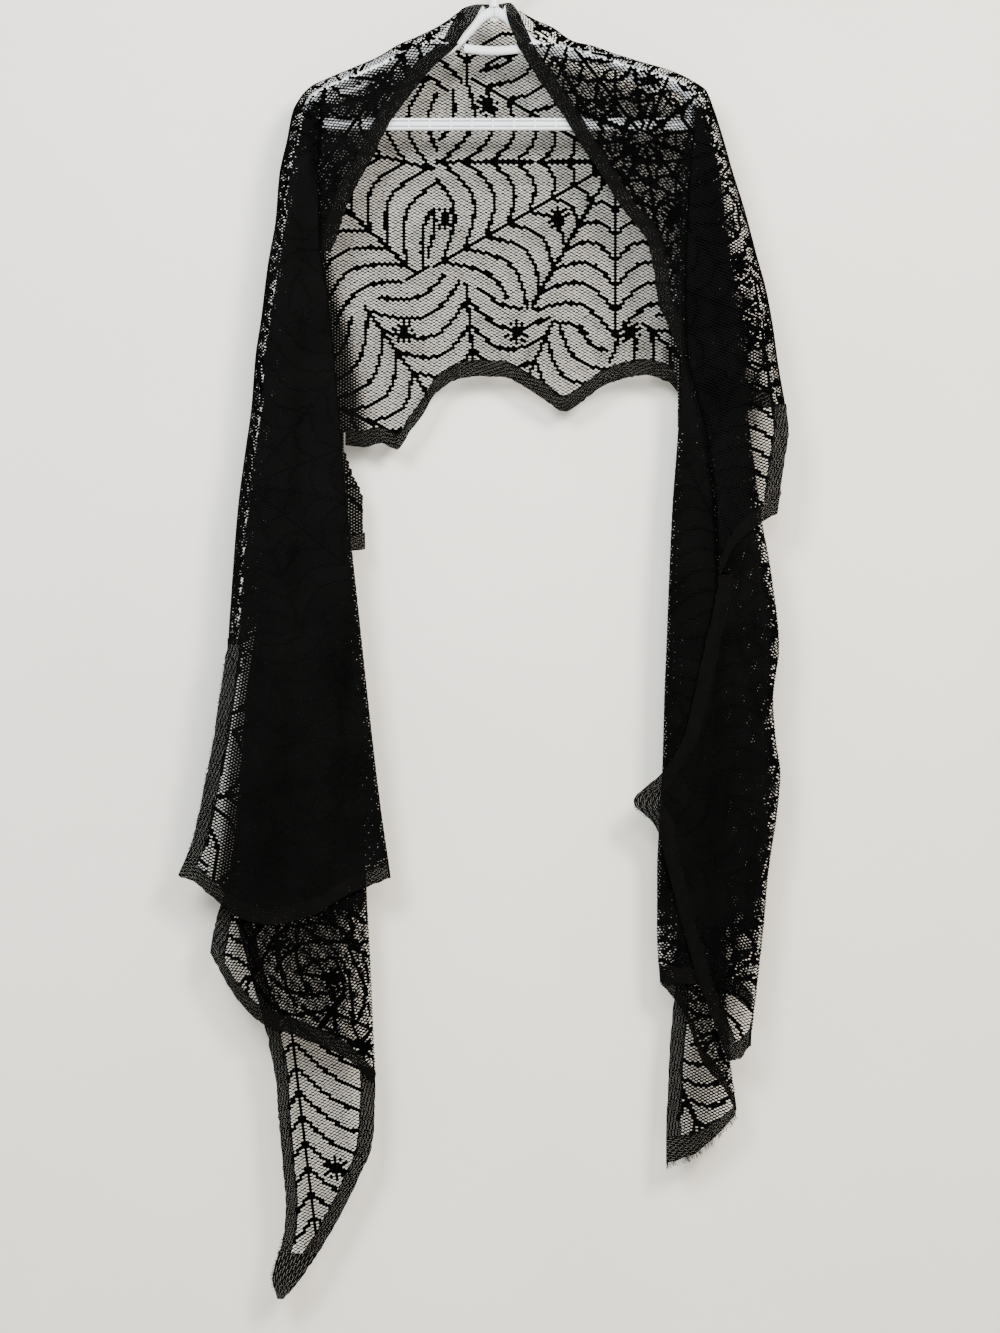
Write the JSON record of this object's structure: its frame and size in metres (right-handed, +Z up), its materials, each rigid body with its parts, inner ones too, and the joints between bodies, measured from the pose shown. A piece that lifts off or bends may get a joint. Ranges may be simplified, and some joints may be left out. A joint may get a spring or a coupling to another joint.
{
  "type": "lace shawl on a hanger",
  "caption": "Long black lace shawl with a scalloped hem, draped over the arms of a white plastic clothes hanger, its two ends hanging in layers.",
  "frame": {"origin": "inside top of the hanger's hook, where the rail carries it", "axes": "+Z up, +X towards the longer span of the bar on the viewer's right, front of the garment towards -Y"},
  "size_m": [0.6296, 0.0349, 1.4137],
  "materials": {
    "black_net": "black polyester warp-knitted net",
    "black_band": "black solid-knit edge",
    "white_plastic": "moulded white polypropylene, smooth"
  },
  "bodies": {
    "root": {"back_hem_band": "black_band", "back_panel": "black_net", "hanger_bar": "white_plastic", "hanger_brace": "white_plastic", "hanger_hook": "white_plastic", "hanger_left_arm": "white_plastic", "hanger_left_end": "white_plastic", "hanger_left_strap_hook": "white_plastic", "hanger_right_arm": "white_plastic", "hanger_right_end": "white_plastic", "hanger_right_strap_hook": "white_plastic", "left_back_hem_band": "black_band", "left_back_layer": "black_net", "left_first_layer": "black_net", "left_flap": "black_net", "left_flap_lower_hem": "black_band", "left_flap_side_hem": "black_band", "left_front_panel": "black_net", "left_front_top_band": "black_band", "left_inner_layer": "black_net", "left_inner_top_band": "black_band", "left_lower_hem": "black_band", "left_lower_layer": "black_net", "left_lower_side_hem": "black_band", "left_outer_fold": "black_net", "left_second_layer": "black_net", "left_tail": "black_net", "left_tail_hem": "black_band", "left_tail_tip": "black_band", "left_tail_top_band": "black_band", "left_third_layer": "black_net", "neck_top_band": "black_band", "right_back_hem_band": "black_band", "right_back_layer": "black_net", "right_corner_layer": "black_net", "right_corner_lower_hem": "black_band", "right_corner_side_hem": "black_band", "right_first_layer": "black_net", "right_flap": "black_net", "right_flap_lower_hem": "black_band", "right_flap_side_hem": "black_band", "right_fourth_hem": "black_band", "right_fourth_layer": "black_net", "right_front_panel": "black_net", "right_front_top_band": "black_band", "right_inner_top_band": "black_band", "right_outer_fold": "black_net", "right_second_layer": "black_net", "right_tail_hem": "black_band", "right_tail_layer": "black_net", "right_third_hem": "black_band", "right_third_layer": "black_net"}
  },
  "joints": []
}
